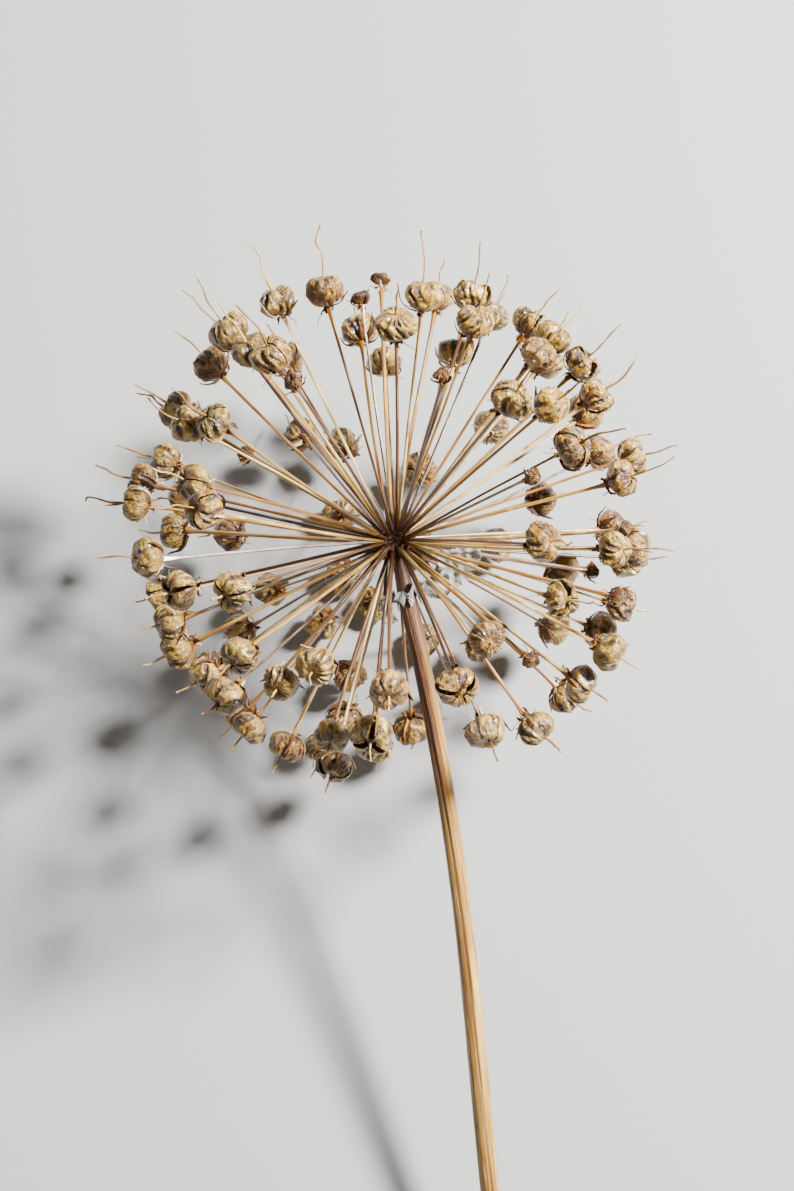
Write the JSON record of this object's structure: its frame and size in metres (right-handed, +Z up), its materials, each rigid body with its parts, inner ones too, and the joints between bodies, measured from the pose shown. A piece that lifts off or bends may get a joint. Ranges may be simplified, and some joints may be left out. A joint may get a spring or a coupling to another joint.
{
  "type": "dried allium seed head",
  "caption": "Round dried umbel of three-lobed seed capsules on thin stalks, on a long bare cut stem, lying on its side.",
  "frame": {"origin": "on the surface the seed head lies on, under the middle of its bounding box", "axes": "+Z up from the surface; +Y along the stem's length, from the cut end towards the head; +X to the head's right, as seen from above with the head at the far end"},
  "size_m": [0.1146, 0.229, 0.1002],
  "materials": {
    "seed_capsule": "satin",
    "receptacle": "matte",
    "flower_stem": "satin",
    "spathe": "matte"
  },
  "bodies": {
    "root": {"floret_pair_01": "seed_capsule", "floret_pair_02": "seed_capsule", "floret_pair_03": "seed_capsule", "floret_pair_04": "seed_capsule", "floret_pair_05": "seed_capsule", "floret_pair_06": "seed_capsule", "floret_pair_07": "seed_capsule", "floret_pair_08": "seed_capsule", "floret_pair_09": "seed_capsule", "floret_pair_10": "seed_capsule", "floret_pair_11": "seed_capsule", "floret_pair_12": "seed_capsule", "floret_pair_13": "seed_capsule", "floret_pair_14": "seed_capsule", "floret_pair_15": "seed_capsule", "floret_pair_16": "seed_capsule", "floret_pair_17": "seed_capsule", "floret_pair_18": "seed_capsule", "floret_pair_19": "seed_capsule", "floret_pair_20": "seed_capsule", "floret_pair_21": "seed_capsule", "floret_pair_22": "seed_capsule", "floret_pair_23": "seed_capsule", "floret_pair_24": "seed_capsule", "floret_pair_25": "seed_capsule", "floret_pair_26": "seed_capsule", "floret_pair_27": "seed_capsule", "floret_pair_28": "seed_capsule", "floret_pair_29": "seed_capsule", "floret_pair_30": "seed_capsule", "floret_pair_31": "seed_capsule", "floret_pair_32": "seed_capsule", "floret_pair_33": "seed_capsule", "floret_pair_34": "seed_capsule", "floret_pair_35": "seed_capsule", "floret_pair_36": "seed_capsule", "floret_pair_37": "seed_capsule", "floret_pair_38": "seed_capsule", "floret_pair_39": "seed_capsule", "floret_pair_40": "seed_capsule", "floret_pair_41": "seed_capsule", "floret_pair_42": "seed_capsule", "floret_pair_43": "seed_capsule", "floret_pair_44": "seed_capsule", "floret_pair_45": "seed_capsule", "floret_pair_46": "seed_capsule", "floret_pair_47": "seed_capsule", "floret_pair_48": "seed_capsule", "floret_pair_49": "seed_capsule", "floret_pair_50": "seed_capsule", "floret_pair_51": "seed_capsule", "floret_pair_52": "seed_capsule", "floret_pair_53": "seed_capsule", "floret_pair_54": "seed_capsule", "floret_pair_55": "seed_capsule", "receptacle": "receptacle", "flower_stem": "flower_stem", "spathe_ring": "spathe", "spathe_right_valve": "spathe", "spathe_left_valve": "spathe"}
  },
  "joints": []
}
